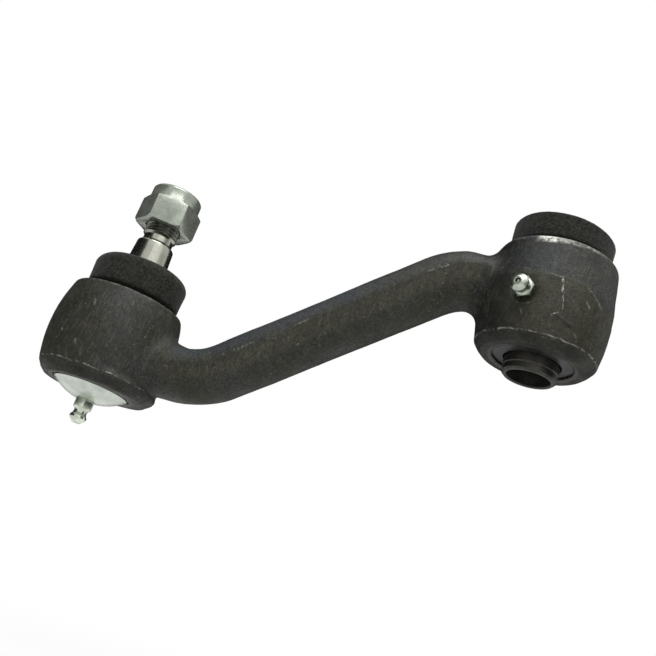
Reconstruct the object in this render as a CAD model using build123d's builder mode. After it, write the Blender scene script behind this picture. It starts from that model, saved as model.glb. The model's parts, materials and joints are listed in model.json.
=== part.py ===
"""Steering idler arm: a forged cranked arm with a greased sleeve pivot at one end
and a sprung ball stud at the other.

The origin is the middle of the pivot sleeve's bore. +Z runs along both axes towards
the stud's nut, and the stud stands at -X.
"""
import os
from math import cos, radians, sin, sqrt

from build123d import *

os.makedirs("parts", exist_ok=True)

# Driving dimensions in millimetres

# the arm between its two axes
arm_length = 160.0          # pivot axis to stud axis
boss_top_drop = 63.6        # stud boss top below the pivot boss top
shank_half_width = 12.0     # half the forged shank, side to side
shank_half_height = 10.6    # half its height at the stud end
shank_growth = 1.12         # how much larger the section is at the pivot end
shank_stud_level = 22.3     # shank centre line below the stud boss top
shank_pivot_level = 15.3    # shank centre line below the pivot boss top
shank_stud_run = 41.0       # level run from the stud axis to the bend
shank_pivot_run = 35.3      # level run from the pivot axis to the bend
shank_bend_radius = 30.0    # centre line radius of both bends
stud_neck_fillet = 5.0      # forged radius where the shank leaves the stud boss
pivot_neck_fillet = 5.8     # and where it enters the pivot boss

# the pivot sleeve and its boss
sleeve_length = 55.0
sleeve_bore_r = 8.2
sleeve_outer_r = 10.5
sleeve_edge = 0.8           # outer chamfer on both end faces
sleeve_mouth = 0.4          # chamfer at both mouths of the bore
sleeve_step = 0.3           # the sleeve's ends are turned down by this
sleeve_step_length = 3.0
sleeve_stand_out = 6.2      # bare sleeve beyond each end of the boss
pivot_mid_r = 24.9          # boss at its fullest
pivot_edge_r = 23.1         # boss at the rim of each end
pivot_crease_r = 24.8       # where the trimmed wall meets the drafted upper wall
pivot_crease_rise = 4.3     # crease above the fullest radius, at half height
pivot_chamfer_in = 2.9
pivot_chamfer_up = 3.4
rim_round = 1.3             # worn rounding of the upper rims
bushing_wall = 3.0
bushing_length = 13.5
bushing_edge = 0.6          # chamfer at both mouths of each bushing
retainer_wall = 1.6         # dished steel ring crimped into the lower mouth
retainer_dish = 0.8
retainer_rim = 1.6          # flat outer part of the ring
retainer_seat_width = 5.4   # how far the ring's seat is wider than its eye
retainer_gap = 0.6          # open gap between the ring's eye and the sleeve
lower_seal_height = 2.0
lip_wall = 1.1              # metal rolled over each crimped cover
lip_overlap = 1.2           # how far the rolled lip reaches over the retainer
cover_lip_overlap = 1.2     # and the other lip over the cover plate

# the stud boss and its socket
stud_boss_height = 38.1
stud_mid_r = 25.0
stud_top_r = 22.4
stud_bottom_r = 22.9
stud_chamfer_in = 1.9
stud_chamfer_up = 4.4
socket_bore_r = 16.6
socket_mouth_r = 12.4       # upper opening that the stud rocks in
socket_shoulder = 5.0       # metal left above the socket
mouth_edge = 1.0            # chamfer round the upper opening
seat_skirt = 1.0            # how far above the centre the socket seat ends
ball_depth = 18.0           # rocking centre below the boss top
half_ball_r = 14.05
half_ball_rise = 8.5        # flat top of the half ball above its centre
half_ball_drop = 2.0        # flat underside below its centre
head_r = 10.5
journal_r = 8.85
pressure_seat_drop = 6.2    # upper face of the pressure seat below the centre
pressure_seat_wall = 2.7
pressure_seat_eye_r = 2.5
spring_wall = 1.1
spring_eye_r = 6.5
spring_side_gap = 1.0       # radial, spring to socket bore
cover_wall = 2.2
cover_dome_r = 14.9
cover_dome_depth = 4.7      # dome below the rolled lip
cover_flat_r = 5.0

# the stud and its nut
stud_big_r = 8.8            # large end of the taper
stud_taper_length = 15.6
stud_taper_rise = 11.4      # large end of the taper above the boss top
stud_taper_ratio = 1.0 / 16.0
stud_neck_r = 7.6
stud_shoulder_round = 1.2
journal_spare = 1.0         # journal showing above the half ball
relief_r = 6.3
relief_slope = 1.3          # height of the step from taper to relief
relief_length = 4.4
thread_r = 7.14
thread_length = 21.6
thread_chamfer = 1.0
nut_across_flats = 22.2
nut_hex_height = 11.6
nut_height = 17.3
nut_collar_r = 10.7
nut_collar_wall = 1.3
nut_insert_height = 3.0
nut_insert_lift = 1.4       # insert seat above the hexagon
nut_corner_in = 0.9         # corner chamfers under the hexagon
nut_corner_up = 1.0
nut_top_in = 1.9            # and over it
nut_sink = 0.7              # countersink of the threaded bore
nut_bearing_gap = 3.6       # free thread between the relief and the nut

# the soft rings on top of both bosses
stud_seal_r = 19.0
stud_seal_height = 16.0
pivot_seal_r = 19.7
pivot_seal_height = 13.4
seal_waist = 0.4            # how far each ring's side is drawn in
seal_waist_share = 0.4      # where on its height it is drawn in the most
seal_round = 2.4
seal_gap = 0.3              # radial, soft ring to the sleeve or stud that it surrounds

# both grease fittings
fitting_across_flats = 7.14
fitting_hex_height = 3.4
fitting_thread_r = 3.05
fitting_thread_length = 4.2
fitting_thread_edge = 0.5   # chamfer on the thread's end
fitting_neck_r = 2.55
fitting_head_r = 3.3
fitting_head_base = 6.6     # the head's full radius runs from here
fitting_head_top = 7.6      # to here, above the seat
fitting_tip_r = 1.65
fitting_height = 9.4
fitting_bore_r = 0.9
fitting_ball_r = 1.1
fitting_ball_sink = 0.25    # metal rolled over the check ball
grease_passage_r = 1.6
side_fitting_turn = 23.3    # degrees from the front of the pivot boss towards the arm
side_fitting_droop = 9.0    # degrees below square
side_fitting_level = 23.8   # below the pivot boss top
side_fitting_seat = 0.8     # spot face cut into the boss below its fullest radius
side_spot_r = 5.2
side_hex_turn = 13.0        # degrees, how each hexagon happens to stand
cover_hex_turn = 2.8
nut_hex_turn = 20.7

# Clearances
running = 0.05              # radial, between faces that turn or rock on each other
seated = 0.02               # radial, between pieces pressed or screwed together
face_gap = 0.05             # between stacked faces
seat_slide = 0.2            # radial, pressure seat in its bore
cutter_reach = 4.0          # of the spot face cutter beyond the boss

# Levels worked out from the driving dimensions
sleeve_top = sleeve_length / 2
sleeve_foot = -sleeve_top
pivot_bottom = sleeve_foot + sleeve_stand_out
pivot_top = sleeve_top - sleeve_stand_out
stud_top = pivot_top - boss_top_drop
stud_bottom = stud_top - stud_boss_height
centre = stud_top - ball_depth
shoulder_level = stud_top - socket_shoulder
pressure_seat_base = centre - head_r - running - pressure_seat_wall
bushing_r = sleeve_outer_r + running + bushing_wall
retainer_eye_r = sleeve_outer_r + retainer_gap
retainer_r = retainer_eye_r + retainer_seat_width
pivot_lip_r = retainer_r - lip_overlap
retainer_base = pivot_bottom + lip_wall
lower_seal_base = retainer_base + retainer_wall
lower_bushing_base = lower_seal_base + lower_seal_height
upper_bushing_top = pivot_top - face_gap
cover_lip_r = socket_bore_r - cover_lip_overlap
cover_base = stud_bottom + lip_wall
cover_top = cover_base + cover_wall
dome_bottom = stud_bottom - cover_dome_depth
dome_rise = (cover_dome_r ** 2 - cover_flat_r ** 2 - cover_dome_depth ** 2) / (2 * cover_dome_depth)
dome_centre = stud_bottom + dome_rise
dome_r = sqrt(cover_dome_r ** 2 + dome_rise ** 2)
taper_base = stud_top + stud_taper_rise
taper_top = taper_base + stud_taper_length
stud_small_r = stud_big_r - stud_taper_length * stud_taper_ratio
relief_top = taper_top + relief_length
nut_base = relief_top + nut_bearing_gap
stud_end = relief_top + thread_length


# Planes and axes that the pieces are turned about
pivot_plane = Plane.XZ
pivot_axis = Axis.Z
stud_plane = Plane(origin=(-arm_length, 0, 0), x_dir=(-1, 0, 0), z_dir=(0, 1, 0))
stud_axis = Axis((-arm_length, 0, 0), (0, 0, 1))
stud_ground = Plane(origin=(-arm_length, 0, 0), x_dir=(1, 0, 0), z_dir=(0, 0, 1))


def ball_point(radius, rise):
    """The (radius, level) point of a ball about the rocking centre, rise above it."""
    return (sqrt(radius ** 2 - rise ** 2), centre + rise)


def ball_arc(radius, start, end):
    """An arc of that ball between two rises, for a turned outline."""
    middle = (start + end) / 2
    return ThreePointArc(ball_point(radius, start), ball_point(radius, middle), ball_point(radius, end))


def corner_arc(outer_r, top, radius):
    """A quarter arc from the side of a turned outline over to its top."""
    inset = radius * (1 - sqrt(0.5))
    return ThreePointArc((outer_r, top - radius), (outer_r - inset, top - inset), (outer_r - radius, top))


def dome_point(ball_r, radius):
    """The (radius, level) point on the lower side of a ball about the cover dome's centre."""
    return (radius, dome_centre - sqrt(ball_r ** 2 - radius ** 2))


def turned(plane, axis, points):
    """A closed outline of (radius, level) corners, turned about the axis in the open part."""
    with BuildSketch(plane) as profile:
        with BuildLine():
            Polyline(points, close=True)
        make_face()
    revolve(profile.sketch, axis=axis)


# FORGED ARM
# Two barrel bosses joined by a cranked shank, forged in one piece and then bored.
# Each barrel is fullest at half height and has a chamfered lower edge and a worn upper rim.
with BuildPart() as forged_arm:
    with BuildSketch(pivot_plane):
        with BuildLine():
            pivot_face_r = pivot_edge_r - pivot_chamfer_in
            pivot_foot = pivot_bottom + pivot_chamfer_up
            Polyline((0, pivot_top), (0, pivot_bottom), (pivot_face_r, pivot_bottom),
                     (pivot_edge_r, pivot_foot))
            pivot_half = (pivot_bottom + pivot_top) / 2
            pivot_crease = (pivot_crease_r, pivot_half + pivot_crease_rise)
            ThreePointArc((pivot_edge_r, pivot_foot), (pivot_mid_r, pivot_half), pivot_crease)
            Polyline(pivot_crease, (pivot_edge_r, pivot_top), (0, pivot_top))
        make_face()
    revolve(axis=pivot_axis)
    with BuildSketch(stud_plane):
        with BuildLine():
            stud_face_r = stud_bottom_r - stud_chamfer_in
            stud_foot = stud_bottom + stud_chamfer_up
            Polyline((0, stud_top), (0, stud_bottom), (stud_face_r, stud_bottom),
                     (stud_bottom_r, stud_foot))
            ThreePointArc((stud_bottom_r, stud_foot),
                          (stud_mid_r, (stud_bottom + stud_top) / 2),
                          (stud_top_r, stud_top))
            Line((stud_top_r, stud_top), (0, stud_top))
        make_face()
    revolve(axis=stud_axis)
    rims = forged_arm.edges().filter_by(GeomType.CIRCLE)
    pivot_rim = rims.sort_by(Axis.Z)[-1]
    stud_rim = rims.filter_by(lambda e: abs(e.arc_center.Z - stud_top) < face_gap)[0]
    fillet([pivot_rim, stud_rim], radius=rim_round)

# The shank leaves the stud boss level, climbs in a straight crank and enters the pivot
# boss level. Its oval section grows steadily towards the pivot.
shank_stud_z = stud_top - shank_stud_level
shank_pivot_z = pivot_top - shank_pivot_level
shank_start = (-arm_length, 0, shank_stud_z)
shank_end = (0, 0, shank_pivot_z)
with BuildPart() as shank:
    with BuildLine():
        FilletPolyline(shank_start, (-arm_length + shank_stud_run, 0, shank_stud_z),
                       (-shank_pivot_run, 0, shank_pivot_z), shank_end, radius=shank_bend_radius)
    for section_place, growth in ((shank_start, 1), (shank_end, shank_growth)):
        with BuildSketch(Plane(origin=section_place, x_dir=(0, 1, 0), z_dir=(1, 0, 0))):
            Ellipse(shank_half_width * growth, shank_half_height * growth)
    sweep(multisection=True)


def within(edge, axis_x, reach):
    """Whether an edge stays within that reach of the upright axis at axis_x."""
    spots = [edge @ (quarter / 4) for quarter in range(5)]
    return all(sqrt((spot.X - axis_x) ** 2 + spot.Y ** 2) < reach for spot in spots)


# The side fitting stands square on a spot face below mid height of the pivot boss.
side_out = Vector(-sin(radians(side_fitting_turn)) * cos(radians(side_fitting_droop)),
                  -cos(radians(side_fitting_turn)) * cos(radians(side_fitting_droop)),
                  -sin(radians(side_fitting_droop)))
side_right = Vector(cos(radians(side_fitting_turn)), -sin(radians(side_fitting_turn)), 0)
side_seat_r = pivot_mid_r - side_fitting_seat
side_seat = Plane(origin=(-side_seat_r * sin(radians(side_fitting_turn)),
                          -side_seat_r * cos(radians(side_fitting_turn)),
                          pivot_top - side_fitting_level),
                  x_dir=side_right, z_dir=side_out)
fitting_hole_r = fitting_thread_r + seated

with forged_arm:
    add(shank.part)
    joins = forged_arm.edges(Select.LAST)
    stud_neck = joins.filter_by(lambda e: within(e, -arm_length, stud_mid_r + stud_neck_fillet))
    pivot_neck = joins.filter_by(lambda e: within(e, 0, pivot_mid_r + pivot_neck_fillet))
    fillet(stud_neck, radius=stud_neck_fillet)
    fillet(pivot_neck, radius=pivot_neck_fillet)

# The bored inside: bushing bore and crimp mouth at the pivot, socket and rocking mouth
# at the stud, a tapped hole for the side fitting and its passage to the grease space.
with forged_arm:
    with BuildSketch(pivot_plane):
        with BuildLine():
            Polyline((0, pivot_bottom), (pivot_lip_r, pivot_bottom), (pivot_lip_r, retainer_base),
                     (retainer_r + seated, retainer_base), (retainer_r + seated, lower_bushing_base),
                     (bushing_r + seated, lower_bushing_base), (bushing_r + seated, pivot_top),
                     (0, pivot_top), close=True)
        make_face()
    revolve(axis=pivot_axis, mode=Mode.SUBTRACT)
    with BuildSketch(stud_plane):
        with BuildLine():
            Polyline((0, stud_bottom), (cover_lip_r, stud_bottom), (cover_lip_r, cover_base),
                     (socket_bore_r, cover_base), (socket_bore_r, shoulder_level),
                     (socket_mouth_r, shoulder_level), (socket_mouth_r, stud_top - mouth_edge),
                     (socket_mouth_r + mouth_edge, stud_top), (0, stud_top), close=True)
        make_face()
    revolve(axis=stud_axis, mode=Mode.SUBTRACT)
    with BuildSketch(side_seat):
        Circle(side_spot_r)
    extrude(amount=side_fitting_seat + cutter_reach, mode=Mode.SUBTRACT)
    with BuildSketch(side_seat):
        Circle(fitting_hole_r)
    extrude(amount=-(fitting_thread_length + seated), mode=Mode.SUBTRACT)
    with BuildSketch(side_seat):
        Circle(grease_passage_r)
    extrude(amount=-(side_seat_r - bushing_r + grease_passage_r), mode=Mode.SUBTRACT)
forged_arm.part.label = "forged_arm"
export_step(forged_arm.part, "parts/forged_arm.step")

# PIVOT SLEEVE
# Steel sleeve that the frame bolt clamps; both ends are turned down and chamfered.
with BuildPart() as pivot_sleeve:
    with BuildSketch(pivot_plane):
        with BuildLine():
            end_r = sleeve_outer_r - sleeve_step
            mouth_r = sleeve_bore_r + sleeve_mouth
            Polyline((sleeve_bore_r, 0), (sleeve_bore_r, sleeve_top - sleeve_mouth),
                     (mouth_r, sleeve_top), (end_r - sleeve_edge, sleeve_top),
                     (end_r, sleeve_top - sleeve_edge), (end_r, sleeve_top - sleeve_step_length),
                     (sleeve_outer_r, sleeve_top - sleeve_step_length - sleeve_step),
                     (sleeve_outer_r, 0), close=True)
        make_face()
    revolve(axis=pivot_axis)
    mirror(about=Plane.XY)
pivot_sleeve.part.label = "pivot_sleeve"
export_step(pivot_sleeve.part, "parts/pivot_sleeve.step")

# PIVOT BUSHINGS
# Two plain bushings pressed into the boss, with the grease space between them.
bushing_bore_r = sleeve_outer_r + running
bushing_bases = {"pivot_bushing_lower": lower_bushing_base + face_gap,
                 "pivot_bushing_upper": upper_bushing_top - bushing_length}
for bushing_name, bushing_base in bushing_bases.items():
    with BuildPart() as bushing:
        with BuildSketch(Plane.XY.offset(bushing_base)):
            Circle(bushing_r)
            Circle(bushing_bore_r, mode=Mode.SUBTRACT)
        extrude(amount=bushing_length)
        chamfer(bushing.edges().filter_by(GeomType.CIRCLE).sort_by(SortBy.RADIUS)[:2], length=bushing_edge)
    bushing.part.label = bushing_name
    export_step(bushing.part, f"parts/{bushing_name}.step")

# PIVOT LOWER SEAL
# Flat rubber ring between the lower bushing and the retainer.
with BuildPart() as pivot_lower_seal:
    with BuildSketch(Plane.XY.offset(lower_seal_base + face_gap)):
        Circle(retainer_r - seal_gap)
        Circle(sleeve_outer_r + seal_gap, mode=Mode.SUBTRACT)
    extrude(amount=lower_seal_height - 2 * face_gap)
pivot_lower_seal.part.label = "pivot_lower_seal"
export_step(pivot_lower_seal.part, "parts/pivot_lower_seal.step")

# PIVOT RETAINER
# Bright dished steel ring held in the lower mouth by the rolled lip.
with BuildPart() as pivot_retainer:
    rest = retainer_base + face_gap
    flat_r = retainer_r - retainer_rim
    turned(pivot_plane, pivot_axis, [
        (retainer_r, rest), (flat_r, rest), (retainer_eye_r, rest - retainer_dish),
        (retainer_eye_r, rest - retainer_dish + retainer_wall),
        (flat_r, rest + retainer_wall - face_gap), (retainer_r, rest + retainer_wall - face_gap)])
pivot_retainer.part.label = "pivot_retainer"
export_step(pivot_retainer.part, "parts/pivot_retainer.step")


def soft_ring(plane, axis, outer_r, base, height, inner_points):
    """A soft ring with a drawn-in side and a rounded top, turned in the open part."""
    top = base + height
    with BuildSketch(plane) as profile:
        with BuildLine():
            Line(inner_points[0], (outer_r, base))
            ThreePointArc((outer_r, base), (outer_r - seal_waist, base + height * seal_waist_share),
                          (outer_r, top - seal_round))
            corner_arc(outer_r, top, seal_round)
            Polyline((outer_r - seal_round, top), *reversed(inner_points))
        make_face()
    revolve(profile.sketch, axis=axis)


# PIVOT SEAL
# Soft cellular ring on top of the pivot boss, round the upper end of the sleeve.
with BuildPart() as pivot_seal:
    pivot_seal_bore_r = sleeve_outer_r + seal_gap
    soft_ring(pivot_plane, pivot_axis, pivot_seal_r, pivot_top, pivot_seal_height,
              [(pivot_seal_bore_r, pivot_top), (pivot_seal_bore_r, pivot_top + pivot_seal_height)])
pivot_seal.part.label = "pivot_seal"
export_step(pivot_seal.part, "parts/pivot_seal.step")

# STUD SEAL
# The same kind of ring round the stud; its bore opens downwards over the rocking mouth.
with BuildPart() as stud_seal:
    stud_seal_eye_r = stud_big_r + seal_gap
    stud_seal_mouth_r = socket_mouth_r + mouth_edge + seal_gap
    soft_ring(stud_plane, stud_axis, stud_seal_r, stud_top, stud_seal_height,
              [(stud_seal_mouth_r, stud_top),
               (stud_seal_eye_r, stud_top + stud_taper_rise - seal_round),
               (stud_seal_eye_r, stud_top + stud_seal_height)])
stud_seal.part.label = "stud_seal"
export_step(stud_seal.part, "parts/stud_seal.step")

# SOCKET SEAT
# Hardened ring against the shoulder of the stud boss, ground to the half ball's sphere.
with BuildPart() as socket_seat:
    socket_r = half_ball_r + running
    seat_mouth_rise = sqrt(socket_r ** 2 - socket_mouth_r ** 2)
    seat_r = socket_bore_r - seated
    with BuildSketch(stud_plane):
        with BuildLine():
            ball_arc(socket_r, seat_skirt, seat_mouth_rise)
            Polyline(ball_point(socket_r, seat_mouth_rise), (socket_mouth_r, shoulder_level - face_gap),
                     (seat_r, shoulder_level - face_gap), (seat_r, centre + seat_skirt),
                     ball_point(socket_r, seat_skirt))
        make_face()
    revolve(axis=stud_axis)
socket_seat.part.label = "socket_seat"
export_step(socket_seat.part, "parts/socket_seat.step")

# HALF BALL
# The rocking bearing: the stud turns in its bore while its dome rocks in the socket seat.
with BuildPart() as half_ball:
    half_ball_bore_r = journal_r + running
    with BuildSketch(stud_plane):
        with BuildLine():
            ball_arc(half_ball_r, -half_ball_drop, half_ball_rise)
            Polyline(ball_point(half_ball_r, half_ball_rise), (half_ball_bore_r, centre + half_ball_rise),
                     (half_ball_bore_r, centre - half_ball_drop),
                     ball_point(half_ball_r, -half_ball_drop))
        make_face()
    revolve(axis=stud_axis)
half_ball.part.label = "half_ball"
export_step(half_ball.part, "parts/half_ball.step")

# BALL STUD
# One turned piece: spherical head, journal, neck, 1 in 8 taper, thread relief and thread.
with BuildPart() as ball_stud:
    head_rise = half_ball_drop + face_gap
    journal_top = centre + half_ball_rise + journal_spare
    neck_base = journal_top + journal_r - stud_neck_r
    neck_top = taper_base - 2 * (stud_big_r - stud_neck_r)
    with BuildSketch(stud_plane):
        with BuildLine():
            ball_arc(head_r, -head_r, -head_rise)
            Polyline(ball_point(head_r, -head_rise), (journal_r, centre - head_rise),
                     (journal_r, journal_top), (stud_neck_r, neck_base), (stud_neck_r, neck_top),
                     (stud_big_r, taper_base), (stud_small_r, taper_top), (relief_r, taper_top + relief_slope),
                     (relief_r, relief_top - thread_r + relief_r), (thread_r, relief_top),
                     (thread_r, stud_end - thread_chamfer), (thread_r - thread_chamfer, stud_end),
                     (0, stud_end), (0, centre - head_r))
        make_face()
    revolve(axis=stud_axis)
    shoulder = ball_stud.edges().filter_by(GeomType.CIRCLE).filter_by(
        lambda e: abs(e.arc_center.Z - taper_top) < face_gap)
    fillet(shoulder, radius=stud_shoulder_round)
ball_stud.part.label = "ball_stud"
export_step(ball_stud.part, "parts/ball_stud.step")

# PRESSURE SEAT
# Cupped seat under the stud's head; it slides and turns in the socket bore.
with BuildPart() as pressure_seat:
    cup_r = head_r + running
    pressure_seat_r = socket_bore_r - seat_slide
    cup_floor = sqrt(cup_r ** 2 - pressure_seat_eye_r ** 2)
    with BuildSketch(stud_plane):
        with BuildLine():
            ball_arc(cup_r, -cup_floor, -pressure_seat_drop)
            Polyline(ball_point(cup_r, -pressure_seat_drop), (pressure_seat_r, centre - pressure_seat_drop),
                     (pressure_seat_r, pressure_seat_base), (pressure_seat_eye_r, pressure_seat_base),
                     ball_point(cup_r, -cup_floor))
        make_face()
    revolve(axis=stud_axis)
pressure_seat.part.label = "pressure_seat"
export_step(pressure_seat.part, "parts/pressure_seat.step")

# DISC SPRING
# Coned spring washer that presses the seat up against the stud's head.
with BuildPart() as disc_spring:
    spring_top = pressure_seat_base - face_gap
    spring_foot = cover_top + face_gap
    spring_r = socket_bore_r - spring_side_gap
    turned(stud_plane, stud_axis, [
        (spring_eye_r, spring_top), (spring_eye_r, spring_top - spring_wall),
        (spring_r, spring_foot), (spring_r, spring_foot + spring_wall)])
disc_spring.part.label = "disc_spring"
export_step(disc_spring.part, "parts/disc_spring.step")

# COVER PLATE
# Pressed dome, bright plated, with its flange held under the rolled lip of the boss.
with BuildPart() as cover_plate:
    inner_r = dome_r - cover_wall
    inner_wall_r = cover_dome_r - cover_wall
    mid_r = (cover_dome_r + cover_flat_r) / 2
    with BuildSketch(stud_plane):
        with BuildLine():
            cover_r = socket_bore_r - seated
            Polyline((inner_wall_r, cover_top), (cover_r, cover_top), (cover_r, cover_base + face_gap),
                     (cover_dome_r, cover_base + face_gap), (cover_dome_r, stud_bottom))
            ThreePointArc((cover_dome_r, stud_bottom), dome_point(dome_r, mid_r),
                          (cover_flat_r, dome_bottom))
            Polyline((cover_flat_r, dome_bottom), (fitting_hole_r, dome_bottom),
                     (fitting_hole_r, dome_bottom + cover_wall), (cover_flat_r, dome_bottom + cover_wall))
            ThreePointArc((cover_flat_r, dome_bottom + cover_wall),
                          dome_point(inner_r, (inner_wall_r + cover_flat_r) / 2),
                          dome_point(inner_r, inner_wall_r))
            Line(dome_point(inner_r, inner_wall_r), (inner_wall_r, cover_top))
        make_face()
    revolve(axis=stud_axis)
cover_plate.part.label = "cover_plate"
export_step(cover_plate.part, "parts/cover_plate.step")

# GREASE FITTINGS
# A screwed fitting with a hexagon, a waisted neck, a coned head and a check ball in its tip.
# The plane lies on the seat of the hexagon and faces out.


def grease_fitting(seat, hex_turn, name):
    """One fitting and its check ball, written as name and name with _ball."""
    profile = Plane(origin=seat.origin, x_dir=seat.x_dir, z_dir=-seat.y_dir)
    axis = Axis(seat.origin, seat.z_dir)
    seat_level = face_gap
    pocket_r = fitting_ball_r + face_gap
    pocket_top = fitting_height - fitting_ball_sink
    pocket_base = pocket_top - 2 * pocket_r
    with BuildPart() as fitting:
        with BuildSketch(seat.offset(seat_level)):
            RegularPolygon(fitting_across_flats / 2, 6, major_radius=False, rotation=hex_turn)
        extrude(amount=fitting_hex_height - seat_level)
        with BuildSketch(profile):
            with BuildLine():
                thread_end_r = fitting_thread_r - fitting_thread_edge
                Polyline((0, -fitting_thread_length), (thread_end_r, -fitting_thread_length),
                         (fitting_thread_r, fitting_thread_edge - fitting_thread_length),
                         (fitting_thread_r, fitting_hex_height), (fitting_head_r, fitting_hex_height))
                ThreePointArc((fitting_head_r, fitting_hex_height),
                              (fitting_neck_r, (fitting_hex_height + fitting_head_base) / 2),
                              (fitting_head_r, fitting_head_base))
                Polyline((fitting_head_r, fitting_head_base), (fitting_head_r, fitting_head_top),
                         (fitting_tip_r, fitting_height), (0, fitting_height),
                         (0, -fitting_thread_length))
            make_face()
        revolve(axis=axis)
        with BuildSketch(profile):
            with BuildLine():
                Polyline((0, -fitting_thread_length), (fitting_bore_r, -fitting_thread_length),
                         (fitting_bore_r, pocket_base), (pocket_r, pocket_base), (pocket_r, pocket_top),
                         (fitting_bore_r, pocket_top), (fitting_bore_r, fitting_height),
                         (0, fitting_height), close=True)
            make_face()
        revolve(axis=axis, mode=Mode.SUBTRACT)
    fitting.part.label = name
    export_step(fitting.part, f"parts/{name}.step")
    with BuildPart() as ball:
        with Locations(seat.offset(pocket_base + pocket_r)):
            Sphere(fitting_ball_r)
    ball.part.label = f"{name}_ball"
    export_step(ball.part, f"parts/{name}_ball.step")


cover_seat = Plane(origin=(-arm_length, 0, dome_bottom), x_dir=(1, 0, 0), z_dir=(0, 0, -1))
grease_fitting(side_seat, side_hex_turn, "pivot_fitting")
grease_fitting(cover_seat, cover_hex_turn, "cover_fitting")

# LOCK NUT
# Hexagon nut with a rolled collar on top that traps the insert.
with BuildPart() as lock_nut:
    nut_bore_r = thread_r + seated
    hex_top = nut_base + nut_hex_height
    nut_top = nut_base + nut_height
    corner_r = nut_across_flats / sqrt(3)
    insert_r = nut_collar_r - nut_collar_wall
    insert_base = hex_top + nut_insert_lift
    insert_top = insert_base + nut_insert_height
    with BuildSketch(stud_ground.offset(nut_base)):
        RegularPolygon(nut_across_flats / 2, 6, major_radius=False, rotation=nut_hex_turn)
    extrude(amount=nut_hex_height)
    with BuildSketch(stud_plane):
        with BuildLine():
            Polyline((0, nut_base), (corner_r - nut_corner_in, nut_base),
                     (corner_r, nut_base + nut_corner_up), (corner_r, hex_top - nut_corner_up),
                     (corner_r - nut_top_in, hex_top), (0, hex_top), close=True)
        make_face()
    revolve(axis=stud_axis, mode=Mode.INTERSECT)
    with BuildSketch(stud_plane):
        with BuildLine():
            Polyline((0, hex_top - face_gap), (nut_collar_r, hex_top - face_gap),
                     (nut_collar_r, nut_top - nut_collar_wall))
            corner_arc(nut_collar_r, nut_top, nut_collar_wall)
            Polyline((nut_collar_r - nut_collar_wall, nut_top), (0, nut_top), (0, hex_top - face_gap))
        make_face()
    revolve(axis=stud_axis)
    with BuildSketch(stud_plane):
        with BuildLine():
            Polyline((0, nut_base), (nut_bore_r + nut_sink, nut_base), (nut_bore_r, nut_base + nut_sink),
                     (nut_bore_r, insert_base), (insert_r, insert_base), (insert_r, insert_top),
                     (nut_bore_r + nut_sink, insert_top), (nut_bore_r + nut_sink, nut_top),
                     (0, nut_top), close=True)
        make_face()
    revolve(axis=stud_axis, mode=Mode.SUBTRACT)
lock_nut.part.label = "lock_nut"
export_step(lock_nut.part, "parts/lock_nut.step")

# NUT INSERT
# Nylon ring in the collar that grips the thread.
with BuildPart() as nut_insert:
    with BuildSketch(stud_ground.offset(insert_base + seated)):
        Circle(insert_r - seated)
        Circle(nut_bore_r, mode=Mode.SUBTRACT)
    extrude(amount=nut_insert_height - 2 * seated)
nut_insert.part.label = "nut_insert"
export_step(nut_insert.part, "parts/nut_insert.step")
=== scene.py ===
"""Looks of the steering idler arm: forging, seals, stud, nut, cover and grease fittings."""
import json
from math import cos, pi, radians, sin

import bpy
import numpy as np
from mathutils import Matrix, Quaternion, Vector


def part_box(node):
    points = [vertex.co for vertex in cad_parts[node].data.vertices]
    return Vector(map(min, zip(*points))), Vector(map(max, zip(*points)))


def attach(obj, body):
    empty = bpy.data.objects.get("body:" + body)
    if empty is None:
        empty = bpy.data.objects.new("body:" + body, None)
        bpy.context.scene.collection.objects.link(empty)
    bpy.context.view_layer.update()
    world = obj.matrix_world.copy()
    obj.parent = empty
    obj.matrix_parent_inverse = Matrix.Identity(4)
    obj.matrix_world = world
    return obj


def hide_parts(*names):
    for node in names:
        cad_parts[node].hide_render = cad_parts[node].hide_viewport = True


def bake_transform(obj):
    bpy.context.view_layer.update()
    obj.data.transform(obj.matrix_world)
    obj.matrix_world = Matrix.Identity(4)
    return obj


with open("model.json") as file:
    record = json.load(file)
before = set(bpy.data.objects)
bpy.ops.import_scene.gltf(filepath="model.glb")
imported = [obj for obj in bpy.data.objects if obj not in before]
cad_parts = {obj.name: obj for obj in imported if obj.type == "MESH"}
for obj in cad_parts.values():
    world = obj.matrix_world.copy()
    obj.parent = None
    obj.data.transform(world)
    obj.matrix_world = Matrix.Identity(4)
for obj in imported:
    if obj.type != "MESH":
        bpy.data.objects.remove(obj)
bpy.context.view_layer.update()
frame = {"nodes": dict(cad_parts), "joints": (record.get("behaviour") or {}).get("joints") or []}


# Forged arm: two barrel bosses and a cranked shank, drop forged in one piece and left with
# its dark oxide scale. The flash is trimmed to a narrow land along both sides of the shank,
# and handling has worn the rims and edges bright.
MM = 0.001
merge_gap = 0.002 * MM
nodes = frame["nodes"]
joint_places = {joint["name"]: Vector(joint["pos_m"]) for joint in frame["joints"]}
stud_x = joint_places["stud_rock"].x


def take_up(piece):
    """Selects one piece alone and makes it active."""
    bpy.ops.object.select_all(action="DESELECT")
    piece.select_set(True)
    bpy.context.view_layer.objects.active = piece


def start_from(node_name, piece_name):
    """A new piece with a merged copy of a node's mesh, to be worked further."""
    piece = bpy.data.objects.new(piece_name, nodes[node_name].data.copy())
    bpy.context.scene.collection.objects.link(piece)
    take_up(piece)
    bpy.ops.mesh.customdata_custom_splitnormals_clear()
    bpy.ops.object.mode_set(mode="EDIT")
    bpy.ops.mesh.select_all(action="SELECT")
    bpy.ops.mesh.remove_doubles(threshold=merge_gap)
    bpy.ops.object.mode_set(mode="OBJECT")
    piece.data.materials.clear()
    return piece


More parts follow.
